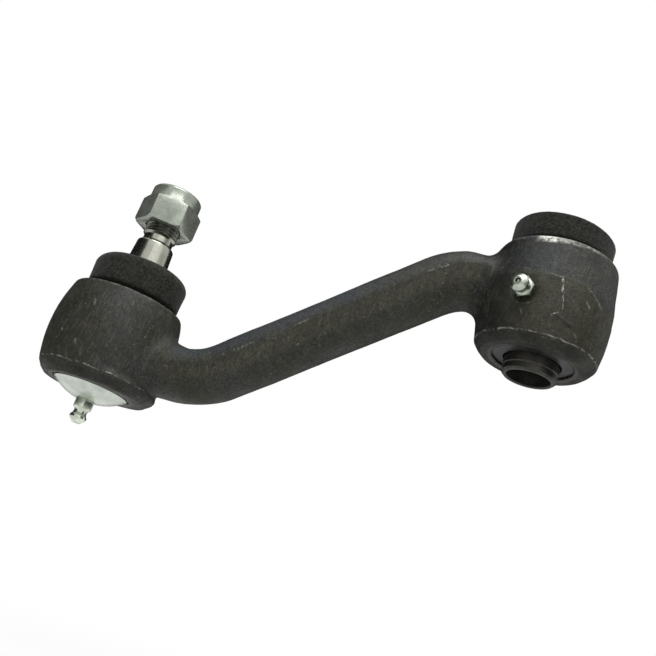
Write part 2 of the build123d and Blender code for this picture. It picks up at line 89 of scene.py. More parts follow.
def apply_modifier(piece, kind, **settings):
    """Adds a modifier, sets it and applies it."""
    take_up(piece)
    modifier = piece.modifiers.new(kind.title(), kind)
    for setting, value in settings.items():
        setattr(modifier, setting, value)
    bpy.ops.object.modifier_apply(modifier=modifier.name)


def points_of(piece):
    """The piece's vertices as an array, one row for each."""
    flat = np.empty(len(piece.data.vertices) * 3)
    piece.data.vertices.foreach_get("co", flat)
    return flat.reshape(-1, 3)


def put_points(piece, points):
    piece.data.vertices.foreach_set("co", points.ravel())
    piece.data.update()


def put_mask(piece, mask_name, values):
    """Keeps a value from 0 to 1 for each vertex, for the piece's material to read."""
    mask = piece.data.attributes.new(mask_name, "FLOAT", "POINT")
    mask.data.foreach_set("value", np.clip(values, 0, 1).astype(np.float32))


def ease(values, low, high):
    """0 at low, 1 at high and a smooth rise between them."""
    share = np.clip((values - low) / (high - low), 0, 1)
    return share * share * (3 - 2 * share)


def convexity(piece, blur_steps):
    """How far each vertex stands out of its neighbours, in metres, averaged over some steps."""
    mesh = piece.data
    points = points_of(piece)
    ends = np.empty(len(mesh.edges) * 2, int)
    mesh.edges.foreach_get("vertices", ends)
    first, second = ends.reshape(-1, 2).T
    count = len(points)
    degree = np.maximum(np.bincount(ends, minlength=count), 1)
    normals = np.empty(count * 3)
    mesh.vertices.foreach_get("normal", normals)
    normals = normals.reshape(-1, 3)

    def neighbour_mean(values):
        total = np.bincount(first, values[second], count) + np.bincount(second, values[first], count)
        return total / degree

    means = np.stack([neighbour_mean(points[:, axis]) for axis in range(3)], axis=1)
    out = ((points - means) * normals).sum(axis=1)
    for _ in range(blur_steps):
        out = (out + neighbour_mean(out)) / 2
    return out


def uneven(piece, noise_name, noise_size, height, group=""):
    """Rolls a piece's surface gently in and out by a cloud pattern."""
    noise = bpy.data.textures.new(noise_name, "CLOUDS")
    noise.noise_scale = noise_size
    noise.noise_depth = 2
    apply_modifier(piece, "DISPLACE", texture=noise, texture_coords="LOCAL", strength=height,
                   mid_level=0.5, vertex_group=group)


forging_voxel = 0.70 * MM
forging_height = 0.22 * MM      # of the slow rolls in the forged skin
forging_grain = 0.07 * MM
arm_forging = start_from("forged_arm", "arm_forging")
apply_modifier(arm_forging, "REMESH", mode="VOXEL", voxel_size=forging_voxel)
apply_modifier(arm_forging, "SMOOTH", factor=0.5, iterations=2)
arm_low, arm_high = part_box("forged_arm")
pivot_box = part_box("pivot_seal")
stud_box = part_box("stud_seal")
pivot_top = pivot_box[0].z
stud_top = stud_box[0].z
pivot_mid_r = 24.9 * MM
pivot_foot = -21.3 * MM
stud_mid_r = 25 * MM
stud_foot = arm_low.z

# The shank's centre line: level at both ends, with a straight climb between the bends.
bend_at_stud = stud_x + 41 * MM
bend_at_pivot = -35.3 * MM
level_at_stud = stud_top - 22.3 * MM
level_at_pivot = pivot_top - 15.3 * MM
bend_spread = 10 * MM
climb = (level_at_pivot - level_at_stud) / (bend_at_pivot - bend_at_stud)
square_to_shank = 1 / (1 + climb ** 2) ** 0.5


def crank_level(x):
    """Level of the shank's centre line at x, with its bends rounded by averaging."""
    spread = np.linspace(-bend_spread, bend_spread, 9)
    along = [np.clip(x + offset - bend_at_stud, 0, bend_at_pivot - bend_at_stud) for offset in spread]
    return level_at_stud + climb * np.mean(along, axis=0)


skin = points_of(arm_forging)
x, y, z = skin.T                # these follow the skin as it is moved
from_pivot = np.hypot(x, y)     # and these stay as first measured
from_stud = np.hypot(x - stud_x, y)

# The trimmed land: a tilted flat, cut a little into both sides of the oval shank.
half_width = 12 * MM
width_growth = 0.12
land_share = 0.978              # of the half width, at the land's upper edge
land_tilt = 0.21
land_top = 1.9 * MM             # upper edge of the land, square to the centre line
land_reach = 8 * MM
land_wave = 0.35 * MM
land_blend = 0.3 * MM
share_along = np.clip((x - stud_x) / -stud_x, 0, 1)
shank_half = half_width * (1 + width_growth * share_along)
above_line = (z - crank_level(x)) * square_to_shank
wave = land_wave * (np.sin(x / (4.3 * MM)) + np.sin(x / (1.9 * MM) + 1)) / 2
land_y = shank_half * land_share + land_tilt * (above_line - land_top + wave)
on_shank = ease(from_stud, stud_mid_r + 2 * MM, stud_mid_r + 9 * MM)
on_shank = on_shank * ease(from_pivot, pivot_mid_r + 0.5 * MM, pivot_mid_r + 6 * MM)
cut = np.maximum(np.abs(y) - land_y, 0) * on_shank * (np.abs(above_line) < land_reach)
cut = cut * cut / (cut + land_blend)
skin[:, 1] -= np.sign(y) * cut
on_land = ease(cut, 0.02 * MM, 0.5 * MM)

# The pivot boss: its wall below a faint crease was trimmed too, and thin fins of flash stand
# on it where the halves of the trimming tool met.
around_pivot = np.degrees(np.arctan2(x, np.abs(y)))
crease_level = 5 * MM - 6 * MM * ease(around_pivot, 22, 50)
below_crease = (z - crease_level) / MM
outer_wall = (from_pivot > 22.4 * MM) & (from_pivot < 26 * MM) & (x > -20 * MM)
step_depth = 0.16 * MM
step = outer_wall * ease(below_crease, -0.35, 0.35) * ease(-below_crease, -16, -9)
near_stud = x < stud_x / 2
from_axis = np.maximum(np.where(near_stud, from_stud, from_pivot), 1e-6)
out_x = (x - stud_x * near_stud) / from_axis
out_y = y / from_axis


def ridge_weight(ends, width, waver):
    """1 along the middle of a line on the forging between two points, 0 at its width."""
    start, end = (Vector(point) * MM for point in ends)
    line = end - start
    offset = skin - np.array(start)
    share = np.clip(offset @ np.array(line) / line.length_squared, 0, 1)
    away = offset - share[:, None] * np.array(line)
    sideways = np.linalg.norm(away, axis=1) + waver * np.sin(share * 23) * MM
    return ease(-np.abs(sideways), -width, 0) * ease(np.minimum(share, 1 - share), -0.01, 0.06)


# Each fin or scrap of flash: its two ends on the surface, half width, waver and height, in mm.
fins = [
    (((1.8, -24.8, 4.5), (4.6, -24.2, -7.7)), 0.9, 0.25, 0.26),
    (((1.9, -24.3, -9.7), (8.4, -22.6, -12.8)), 0.8, 0.1, 0.24),
    (((-0.6, -24.2, 17.5), (1.4, -24.7, 6.5)), 0.8, 0.2, 0.10),
    (((-138.0, -7.0, -77.6), (-137.0, 8.0, -78.4)), 3.6, 0.5, 0.4),
]
lift = -step_depth * step
for ends, width, waver, height in fins:
    lift = lift + ridge_weight(ends, width * MM, waver) * height * MM
skin[:, 0] += out_x * lift
skin[:, 1] += out_y * lift

# The hand-finished dies left it a little uneven: the shank sags between its bends, dips at
# the pivot boss and fills the corner at the stud boss.
shank_sag, bend_sag = 0.35 * MM, 0.3 * MM
dip_depth, dip_x = 1.2 * MM, -26.5 * MM
corner_fill, corner_x = 0.8 * MM, -133 * MM
under_fill, under_x = 0.5 * MM, -120 * MM
upper, lower = ease(above_line, 1 * MM, 8 * MM), ease(-above_line, 1 * MM, 8 * MM)
sag = shank_sag * ease(x + lower * 22 * MM, -112 * MM, -98 * MM) * ease(-x, 60 * MM, 95 * MM) * on_shank
sag += bend_sag * upper * ease(x, -134 * MM, -120 * MM) * ease(-x, 104 * MM, 114 * MM) * on_shank
dip = dip_depth * upper * ease(-np.abs(x - dip_x), -9 * MM, 0)
fill = corner_fill * upper * ease(-np.abs(x - corner_x), -7 * MM, 0) * (np.abs(y) < 14 * MM)
fill += under_fill * lower * ease(-np.abs(x - under_x), -15 * MM, 0)
skin[:, 2] += fill - sag - dip


def roll_edge(axis_x, rises, reaches, weight):
    """Draws a boss's lower edge in to a reach at each rise above its foot, by a weight."""
    reach = np.hypot(skin[:, 0] - axis_x, skin[:, 1])
    wanted = np.interp(skin[:, 2], rises * MM, reaches * MM)
    pull = np.where((reach > 17.5 * MM) & (reach < 25 * MM), np.minimum(wanted / reach, 1), 1)
    pull = 1 - (1 - pull) * weight
    skin[:, 0] = axis_x + (skin[:, 0] - axis_x) * pull
    skin[:, 1] *= pull


# The stud boss's lower edge rolls in under a worn corner, but stands fuller, with a scrap of
# flash, below the shank. The pivot boss's lower edge is rolled a little more than true.
stud_rises = stud_foot / MM + np.array([-1.0, 0.0, 1.4, 3.4, 4.6, 6.0])
stud_reaches = np.array([18.6, 19.3, 21.0, 22.4, 23.4, 30.0])
roll_edge(stud_x, stud_rises, stud_reaches, ease(stud_x + 14 * MM - x, 0, 12 * MM))
pivot_rises = pivot_foot / MM + np.array([-1.0, 0.0, 1.7, 3.4, 4.6])
pivot_reaches = np.array([18.9, 19.7, 21.6, 22.9, 30.0])
roll_edge(0.0, pivot_rises, pivot_reaches, np.ones(len(skin)))
foot_fullness = 2.4 * MM
above_foot = skin[:, 2] - stud_foot
fuller = foot_fullness * ease(x - stud_x, 5 * MM, 19 * MM) * ease(-above_foot, -7 * MM, -3.5 * MM)
fuller *= (1 - 0.65 * ease(-above_foot, -3 * MM, -0.2 * MM)) * ease(from_stud, 16.2 * MM, 20 * MM)
fuller *= 1 - ease(from_stud, 23.5 * MM, 29 * MM)
skin[:, 0] += out_x * fuller
skin[:, 1] += out_y * fuller
put_points(arm_forging, skin)

# The forged skin rolls in and out; bored and turned faces stay true.
forged_skin = (from_stud > 23 * MM) & (from_pivot > 22.6 * MM) & (z < pivot_top - 2 * MM)
stud_edges = (z > stud_top - 2 * MM) | (z < stud_foot + 4.6 * MM)
forged_skin &= ~((from_stud < stud_mid_r + 1 * MM) & stud_edges)
forged_skin &= ~((from_pivot < pivot_mid_r + 1 * MM) & (z < pivot_foot + 3.8 * MM))
skin_group = arm_forging.vertex_groups.new(name="forged_skin")
skin_group.add([int(index) for index in np.flatnonzero(forged_skin)], 1.0, "REPLACE")
uneven(arm_forging, "forging_rolls", 11 * MM, forging_height, skin_group.name)
uneven(arm_forging, "forging_grain", 1.6 * MM, forging_grain, skin_group.name)
put_points(arm_forging, np.clip(points_of(arm_forging), arm_low, arm_high))
bpy.ops.object.shade_smooth()

# Where each tone, kind of wear, painted sheen and painted shade lies, from 0 to 1, for the material to read
# by name.
edge_wear = ease(convexity(arm_forging, 3), 0.02 * MM, 0.08 * MM)
edge_wear *= ease(z, stud_foot + 4 * MM, stud_foot + 6 * MM)
edge_wear *= 1 - (from_pivot < 26 * MM) * ease(-z, 15 * MM, 17 * MM)
# Painted sheen: the upper sides of the shank, and of the pivot boss above its crease, are made bluish and
# lighter, as if they reflected the light above.
sheen_on_shank = on_shank * ease(above_line, 0.3 * MM, 6 * MM) * (1 - 0.6 * ease(x, -75 * MM, -50 * MM))
sheen_on_boss = outer_wall * ease(below_crease, -0.4, 1.4) * (0.62 - 0.45 * ease(x, -6 * MM, 14 * MM))
# Painted shade: the pivot boss darkens where it turns towards the shank.
towards_shank = ease(-np.degrees(np.arctan2(x, np.abs(y))), 15, 50)
# Painted shade under the feet of the bosses.
under_pivot = (from_pivot < 26 * MM) * ease(-z, 17.4 * MM, 19 * MM)
under_stud = (from_stud < 26 * MM) * ease(-z, -stud_foot - 4.4 * MM, -stud_foot - 2.4 * MM)
around_rim = np.degrees(np.arctan2(x, -y))
sliver = (1.9 - 1.3 * ease(around_rim, -12, 30)) * MM
rim_place = ease(sliver - np.abs(z - pivot_top + 1.1 * MM), -0.2 * MM, 0.5 * MM) * (from_pivot > 21.2 * MM)
rim_polish = rim_place * ease(around_rim, -28, -22) * ease(-around_rim, -2, 14)
rim_pale = rim_place * ease(around_rim, -22, -6) * ease(-around_rim, -44, -36) * 0.4
pivot_inside = (from_pivot < 17 * MM) & (np.abs(z) < 23 * MM)
stud_inside = (from_stud < 17.2 * MM) & (z < stud_top + MM)
forging_masks = {
    "edge_wear": edge_wear,
    "trimmed": on_land,
    "skirt": outer_wall * ease(-below_crease, -0.3, 0.6),
    "painted_neck_shade": (from_pivot < 30 * MM) * (x > -29 * MM) * towards_shank,
    "painted_sheen": np.maximum(sheen_on_shank, sheen_on_boss),
    "shaded_boss_feet": np.maximum(under_pivot, under_stud),
    "bare_rim": np.maximum(rim_polish, rim_pale),
    "machined": (pivot_inside | stud_inside).astype(float),
}
for mask_name, values in forging_masks.items():
    put_mask(arm_forging, mask_name, values)


def feed(tree, node, sockets):
    """Links or sets a node's inputs."""
    for name, value in sockets.items():
        if isinstance(value, bpy.types.NodeSocket):
            tree.links.new(value, node.inputs[name])
        else:
            node.inputs[name].default_value = value


def shader_node(tree, kind, sockets=None, **settings):
    """Adds a node, sets it and feeds its inputs."""
    made = tree.nodes.new("ShaderNode" + kind)
    for setting, value in settings.items():
        setattr(made, setting, value)
    feed(tree, made, sockets or {})
    return made


def reckon(tree, operation, *values, **settings):
    """The result of a Math node on numbers or sockets."""
    made = shader_node(tree, "Math", dict(enumerate(values)), operation=operation, **settings)
    return made.outputs["Value"]


def largest(tree, first, second):
    return reckon(tree, "MAXIMUM", first, second)


def times(tree, first, second):
    """The product of two shares, kept from 0 to 1."""
    return reckon(tree, "MULTIPLY", first, second, use_clamp=True)


def reckon_points(tree, operation, sockets, output="Vector"):
    """The result of a Vector Math node on points or sockets."""
    return shader_node(tree, "VectorMath", sockets, operation=operation).outputs[output]


def eased(tree, value, low, high, at_low=0.0, at_high=1.0):
    """A smooth change from one value at low to another at high."""
    made = shader_node(tree, "MapRange", {"Value": value, "From Min": low, "From Max": high, "To Min": at_low,
                                          "To Max": at_high}, interpolation_type="SMOOTHSTEP")
    return made.outputs["Result"]


def noise(tree, place, scale, detail, **sockets):
    return shader_node(tree, "TexNoise", {"Vector": place, "Scale": scale, "Detail": detail, **sockets})


def colour_mix(tree, share, under, over):
    """Lays one colour over another by a share, each a colour or a socket."""
    return shader_node(tree, "Mix", {0: share, 6: under, 7: over}, data_type="RGBA").outputs[2]


def number_mix(tree, share, under, over):
    return shader_node(tree, "Mix", {0: share, 2: under, 3: over}, data_type="FLOAT").outputs[0]


def centred(tree, place, axis_x):
    """Coordinates measured from the upright axis at axis_x."""
    return shader_node(tree, "Mapping", {"Vector": place, "Location": (-axis_x, 0, 0)}).outputs["Vector"]


def axis_reach(tree, place):
    """How far a point is from the upright axis, and its level."""
    parts = shader_node(tree, "SeparateXYZ", {"Vector": place}).outputs
    level_with = shader_node(tree, "CombineXYZ", {"X": parts["X"], "Y": parts["Y"]}).outputs["Vector"]
    return reckon_points(tree, "LENGTH", {0: level_with}, "Value"), parts["Z"]


def new_group(name, inputs, outputs):
    """A node group with named float or vector inputs, its inputs' sockets and its end node."""
    group = bpy.data.node_groups.new(name, "ShaderNodeTree")
    for socket_name, value in inputs.items():
        kind = "Float" if isinstance(value, float) else "Vector"
        socket = group.interface.new_socket(socket_name, in_out="INPUT", socket_type="NodeSocket" + kind)
        if value is not None:
            socket.default_value = value
    for socket_name, kind in outputs.items():
        group.interface.new_socket(socket_name, in_out="OUTPUT", socket_type="NodeSocket" + kind)
    return group, group.nodes.new("NodeGroupInput").outputs, group.nodes.new("NodeGroupOutput")


def use_group(tree, group, sockets):
    """Places a shared group in a material with its own values."""
    return shader_node(tree, "Group", sockets, node_tree=group).outputs


# Mottle: a cloudy mask, 0 to 1, with its own size and share.
mottle, given, result = new_group(
    "mottle", {"Vector": None, "Size": 100.0, "From": 0.4, "To": 0.6}, {"Mask": "Float"})
clouds = noise(mottle, given["Vector"], given["Size"], 5.0, Roughness=0.6)
feed(mottle, result, {"Mask": eased(mottle, clouds.outputs["Fac"], given["From"], given["To"])})

# Grain: the small unevenness of a surface, as a bumped normal from two sizes of noise.
grain, given, result = new_group(
    "grain", {"Vector": None, "Coarse": 800.0, "Fine": 3000.0, "Depth": 0.05}, {"Normal": "Vector"})
coarse = noise(grain, given["Vector"], given["Coarse"], 4.0).outputs["Fac"]
fine = noise(grain, given["Vector"], given["Fine"], 2.0).outputs["Fac"]
depth = reckon(grain, "MULTIPLY", reckon(grain, "ADD", coarse, fine), given["Depth"])
relief = shader_node(grain, "Bump", {"Height": depth, "Distance": MM, "Strength": 1.0})
feed(grain, result, {"Normal": relief.outputs["Normal"]})

# Streak: fine draft lines, as a mask, 0 to 1, stretched by the mapping that feeds it.
streak, given, result = new_group("streak", {"Vector": None, "From": 0.4, "To": 0.7}, {"Mask": "Float"})
strokes = noise(streak, given["Vector"], 1.0, 3.0)
feed(streak, result, {"Mask": eased(streak, strokes.outputs["Fac"], given["From"], given["To"])})

# Scratch: a thin wavering line between two points, as a mask, 0 to 1.
scratch, given, result = new_group(
    "scratch", {"Vector": None, "Start": (0, 0, 0), "End": (0, 0, 0), "Width": 0.0003}, {"Mask": "Float"})
shake = noise(scratch, given["Vector"], 900.0, 2.0).outputs["Color"]
shaken = reckon_points(scratch, "SUBTRACT", {0: shake, 1: (0.5, 0.5, 0.5)})
shaken = reckon_points(scratch, "SCALE", {0: shaken, "Scale": 1.6 * MM})
here = reckon_points(scratch, "ADD", {0: given["Vector"], 1: shaken})
run = reckon_points(scratch, "SUBTRACT", {0: given["End"], 1: given["Start"]})
reached = reckon_points(scratch, "SUBTRACT", {0: here, 1: given["Start"]})
along = reckon_points(scratch, "DOT_PRODUCT", {0: reached, 1: run}, "Value")
whole = reckon_points(scratch, "DOT_PRODUCT", {0: run, 1: run}, "Value")
share = reckon(scratch, "DIVIDE", along, whole, use_clamp=True)
nearest = reckon_points(scratch, "SCALE", {0: run, "Scale": share})
away = reckon_points(scratch, "DISTANCE", {0: reached, 1: nearest}, "Value")
feed(scratch, result, {"Mask": eased(scratch, away, 0.0, given["Width"], 1.0, 0.0)})

# Worn ring: a broken bright line round an upright axis at one level, as a mask, 0 to 1.
ring_reach = 2.2 * MM           # how far from its radius it still shows
ring, given, result = new_group(
    "worn_ring", {"Vector": None, "Level": 0.0, "Width": 0.0003, "Radius": 0.02}, {"Mask": "Float"})
reach, level = axis_reach(ring, given["Vector"])
drift = reckon(ring, "MULTIPLY", noise(ring, given["Vector"], 400.0, 2.0).outputs["Fac"], 1.2 * MM)
level = reckon(ring, "SUBTRACT", reckon(ring, "ADD", level, drift), given["Level"])
band = eased(ring, reckon(ring, "ABSOLUTE", level), 0.0, given["Width"], 1.0, 0.0)
off_radius = reckon(ring, "ABSOLUTE", reckon(ring, "SUBTRACT", reach, given["Radius"]))
on_radius = reckon(ring, "LESS_THAN", off_radius, ring_reach)
feed(ring, result, {"Mask": times(ring, band, on_radius)})


def clouded(tree, place, size, low, high):
    """A mottle mask: more of it the lower its two limits are."""
    return use_group(tree, mottle, {"Vector": place, "Size": size, "From": low, "To": high})["Mask"]


def grained(tree, place, coarse, fine, depth):
    """A grain's normal."""
    return use_group(tree, grain, {"Vector": place, "Coarse": coarse, "Fine": fine, "Depth": depth})["Normal"]


def scratched(tree, place, start, end, width):
    """A scratch mask between two points, in mm."""
    return use_group(tree, scratch, {"Vector": place, "Start": [value * MM for value in start],
                                     "End": [value * MM for value in end], "Width": width * MM})["Mask"]


def new_finish(name):
    """A material emptied to its surface shader, with the coordinates that its pattern reads."""
    finish = bpy.data.materials.new(name)
    finish.use_nodes = True
    tree = finish.node_tree
    return finish, tree, tree.nodes["Principled BSDF"], tree.nodes.new("ShaderNodeTexCoord").outputs["Object"]


def give_finish(piece, finish):
    piece.data.materials.clear()
    piece.data.materials.append(finish)


scale_brown = (0.0262, 0.0258, 0.0192, 1)
# Blue of the scale in random patches, and of the painted sheen on the upper sides.
blue_scale_and_sheen = (0.0400, 0.0460, 0.0510, 1)
scale_olive = (0.0345, 0.0325, 0.0225, 1)
scale_skirt = (0.0320, 0.0312, 0.0215, 1)
# Painted shade in the pivot boss's neck.
neck_shade_colour = (0.0070, 0.0080, 0.0090, 1)
scale_pale = (0.080, 0.079, 0.054, 1)
# Painted shade under the bosses' feet.
boss_feet_shade_colour = (0.0085, 0.0080, 0.0062, 1)
bare_steel = (0.66, 0.65, 0.60, 1)
fleck_colour = (0.24, 0.232, 0.175, 1)
pit_black = (0.006, 0.006, 0.005, 1)
gouge_black = (0.004, 0.004, 0.003, 1)
oily_steel = (0.055, 0.050, 0.038, 1)
forging_finish, tree, surface, place = new_finish("forging_scale")
mask = {mask_name: shader_node(tree, "Attribute", attribute_name=mask_name).outputs["Fac"]
        for mask_name in forging_masks}
bluish = times(tree, clouded(tree, place, 38.0, 0.42, 0.62), 0.35)
# Painted sheen turns the upper sides bluish, over random bluish patches of the scale.
base = colour_mix(tree, largest(tree, bluish, mask["painted_sheen"]), scale_brown, blue_scale_and_sheen)
base = colour_mix(tree, times(tree, mask["trimmed"], 0.7), base, scale_olive)
base = colour_mix(tree, mask["skirt"], base, scale_skirt)
# Painted shade darkens the pivot boss's neck towards the shank.
base = colour_mix(tree, times(tree, mask["painted_neck_shade"], 0.72), base, neck_shade_colour)
patchy = clouded(tree, place, 230.0, 0.46, 0.7)
base = colour_mix(tree, times(tree, patchy, 0.25), base, scale_pale)

# Draft lines run up the bosses and across the trimmed land of the shank.
boss_lines = shader_node(tree, "Mapping", {"Vector": place, "Scale": (1500, 1500, 170)})
boss_streaks = use_group(tree, streak, {"Vector": boss_lines.outputs["Vector"], "From": 0.5, "To": 0.72})
land_lines = shader_node(
    tree, "Mapping", {"Vector": place, "Rotation": (0, radians(40.0), 0), "Scale": (1900, 300, 300)})
land_streaks = use_group(tree, streak, {"Vector": land_lines.outputs["Vector"], "From": 0.46, "To": 0.7})
draft = number_mix(tree, mask["trimmed"], boss_streaks["Mask"], land_streaks["Mask"])
draft = times(tree, draft, number_mix(tree, largest(tree, mask["painted_sheen"], mask["skirt"]), 0.6, 0.3))
base = colour_mix(tree, draft, base, scale_pale)

# Painted shade darkens the undersides of the bosses' feet, in patches. Pits and pale flecks are scattered all
# over.
feet_shade_share = number_mix(tree, clouded(tree, place, 150.0, 0.36, 0.62), 0.2, 0.75)
base = colour_mix(tree, times(tree, mask["shaded_boss_feet"], feet_shade_share), base, boss_feet_shade_colour)
pits = clouded(tree, place, 900.0, 0.48, 0.64)
base = colour_mix(tree, times(tree, pits, 0.5), base, pit_black)
flecks = clouded(tree, place, 1150.0, 0.62, 0.73)
fleck_share = times(tree, flecks, clouded(tree, place, 90.0, 0.38, 0.62))
base = colour_mix(tree, times(tree, fleck_share, 0.9), base, fleck_colour)

# Handling marks: a start and end on the skin and a width, all in mm, and a strength.
handling_marks = [
    ((1.8, -24.8, 4.5), (2.9, -24.7, -1.0), 0.38, 0.6),
    ((3.2, -24.6, -2.0), (4.6, -24.2, -7.7), 0.34, 0.5),
    ((1.5, -24.3, -10.4), (2.2, -24.2, -9.8), 0.5, 0.5),
    ((3.2, -24.3, -8.9), (2.6, -24.4, -9.6), 0.35, 0.4),
    ((-0.6, -24.2, 17.0), (0.6, -24.6, 9.0), 0.4, 0.18),
    ((12.2, -21.6, -1.6), (13.4, -20.9, -3.0), 0.6, 0.22),
    ((-9.6, -22.4, -10.4), (-8.9, -22.6, -12.0), 0.5, 0.14),
    ((10.2, -21.6, -14.0), (11.3, -20.9, -15.2), 0.5, 0.15),
    ((-0.5, -24.9, 4.6), (13.0, -21.3, 3.4), 0.45, 0.35),
    ((13.0, -21.3, 3.4), (18.0, -17.0, -0.6), 0.5, 0.22),
    ((-12.8, -21.2, 6.1), (-0.5, -24.9, 4.8), 0.4, 0.2),
    ((-168.9, -22.9, -58.0), (-169.1, -22.7, -66.0), 0.45, 0.35),
    ((-161.2, -24.6, -51.5), (-160.6, -24.7, -53.0), 0.8, 0.2),
    ((-161.7, -24.5, -68.6), (-160.9, -24.5, -70.0), 0.8, 0.22),
    ((-46.0, -13.6, -4.6), (-43.4, -13.7, -3.6), 0.5, 0.35),
    ((-71.2, -13.2, -31.4), (-68.8, -13.3, -29.2), 0.45, 0.35),
    ((-96.0, -12.4, -44.4), (-92.0, -12.5, -42.4), 0.4, 0.22),
    ((-58.6, -13.5, -14.6), (-56.4, -13.6, -14.4), 0.4, 0.25),
]
# Rubbed stretches of the land's upper edge: where each starts and ends in mm, and a strength.
rubbed_stretches = ((-129, -122, 0.3), (-120, -110, 0.4), (-107, -101, 0.3), (-88, -84, 0.2), (-46, -38, 0.3))
for first_x, last_x, strength in rubbed_stretches:
    ends = [(along_x, -12.6, crank_level(along_x * MM) / MM + 2.4) for along_x in (first_x, last_x)]
    handling_marks.append((*ends, 0.6, strength))
marks = None
for start, end, width, strength in handling_marks:
    mark = times(tree, scratched(tree, place, start, end, width), strength)
    marks = mark if marks is None else largest(tree, marks, mark)

# Worn corners and rims show bare steel through the scale, and so do the marks.
corner_r = 23 * MM
pivot_corner = use_group(tree, ring, {
    "Vector": place, "Level": -17.2 * MM, "Width": 0.45 * MM, "Radius": corner_r})
stud_corner = use_group(tree, ring, {
    "Vector": centred(tree, place, stud_x), "Level": stud_foot + 5.0 * MM, "Width": 0.4 * MM,
    "Radius": corner_r})
ring_wear = largest(tree, pivot_corner["Mask"], stud_corner["Mask"])
worn = times(tree, largest(tree, mask["edge_wear"], ring_wear), clouded(tree, place, 520.0, 0.4, 0.62))
worn = times(tree, worn, 0.36)
worn = largest(tree, worn, times(tree, marks, clouded(tree, place, 1300.0, 0.36, 0.56)))
worn = largest(tree, worn, times(tree, mask["bare_rim"], clouded(tree, place, 620.0, 0.30, 0.62)))
base = colour_mix(tree, worn, base, bare_steel)
gouge = scratched(tree, place, (2.6, -24.1, -10.0), (8.4, -22.6, -12.8), 0.9)
smudge = scratched(tree, place, (-171.5, -19.2, -78.0), (-168.5, -20.4, -78.2), 1.4)
base = colour_mix(tree, times(tree, largest(tree, gouge, smudge), 0.85), base, gouge_black)
base = colour_mix(tree, times(tree, mask["machined"], 0.85), base, oily_steel)
rough = number_mix(tree, clouded(tree, place, 130.0, 0.35, 0.7), 0.44, 0.64)
rough = number_mix(tree, worn, rough, 0.36)
rough = number_mix(tree, mask["machined"], rough, 0.34)
feed(tree, surface, {
    "Base Color": base, "Roughness": rough, "Metallic": times(tree, worn, 0.85),
    "Normal": grained(tree, place, 620.0, 1900.0, 0.2), "Specular IOR Level": 0.22})
give_finish(arm_forging, forging_finish)
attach(arm_forging, "arm")
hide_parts("forged_arm")


# Pivot sleeve: a turned steel tube through the pivot boss, dark with phosphate and oil. The
# frame bolt clamps it by its end faces.
turning, given, result = new_group(
    "turning_marks", {"Vector": None, "Lines": 4000.0, "Depth": 0.02}, {"Normal": "Vector", "Lines": "Float"})
path = reckon(turning, "ADD", *axis_reach(turning, given["Vector"]))
lines = shader_node(turning, "TexNoise", {"W": path, "Scale": given["Lines"], "Detail": 3.0},
                    noise_dimensions="1D").outputs["Fac"]
line_depth = reckon(turning, "MULTIPLY", lines, given["Depth"])
line_relief = shader_node(turning, "Bump", {"Height": line_depth, "Distance": MM})
feed(turning, result, {"Normal": line_relief.outputs["Normal"], "Lines": lines})


def turned_finish(name, axis_x, dark, light, metallic, rough_range, lines, depth, stain):
    """Turned metal: lathe lines about an upright axis, with a cloudy stain over them."""
    finish, tree, surface, place = new_finish(name)
    marks = use_group(tree, turning, {"Vector": centred(tree, place, axis_x), "Lines": lines, "Depth": depth})
    cloud, spots = clouded(tree, place, 170.0, 0.35, 0.68), clouded(tree, place, 900.0, 0.4, 0.8)
    colour = colour_mix(tree, times(tree, cloud, stain), light, dark)
    colour = colour_mix(tree, times(tree, spots, stain * 0.5), colour, dark)
    feed(tree, surface, {
        "Base Color": colour, "Roughness": number_mix(tree, marks["Lines"], *rough_range),
        "Metallic": metallic, "Normal": marks["Normal"]})
    return finish


def refinish(node_name, finish):
    """Gives a carried-over node a finish in place of its plain one."""
    nodes[node_name].material_slots[0].material = finish


pivot_x = joint_places["pivot_turn"].x
refinish("pivot_sleeve", turned_finish(
    "sleeve_phosphate", pivot_x, dark=(0.016, 0.016, 0.014, 1), light=(0.055, 0.053, 0.045, 1),
    metallic=0.55, rough_range=(0.3, 0.5), lines=2600.0, depth=0.03, stain=0.9))


# Pivot bushings: two plain bearing bushings of bronze, pressed into the boss and bored to
# the sleeve, with fine bored lines.
bushing_finish = turned_finish(
    "bushing_bronze", pivot_x, dark=(0.22, 0.12, 0.04, 1), light=(0.52, 0.33, 0.14, 1),
    metallic=1.0, rough_range=(0.25, 0.42), lines=3400.0, depth=0.02, stain=0.5)
for bushing in ("pivot_bushing_lower", "pivot_bushing_upper"):
    refinish(bushing, bushing_finish)


# Pivot retainer: a pressed steel ring, dull zinc plated, held in the lower mouth of the
# pivot boss by the rolled lip.
refinish("pivot_retainer", turned_finish(
    "retainer_dull_zinc", pivot_x, dark=(0.026, 0.028, 0.027, 1), light=(0.080, 0.086, 0.082, 1),
    metallic=0.85, rough_range=(0.38, 0.52), lines=1800.0, depth=0.02, stain=0.8))


# Pivot lower seal: a smooth moulded ring of black rubber, with a little bloom, held on its
# ledge by the retainer.
rubber_finish, tree, surface, place = new_finish("smooth_rubber")
bloom = clouded(tree, place, 260.0, 0.5, 0.8)
feed(tree, surface, {
    "Base Color": colour_mix(tree, times(tree, bloom, 0.5), (0.010, 0.010, 0.010, 1), (0.03, 0.03, 0.028, 1)),
    "Roughness": number_mix(tree, bloom, 0.5, 0.7), "Normal": grained(tree, place, 500.0, 2400.0, 0.02)})
refinish("pivot_lower_seal", rubber_finish)


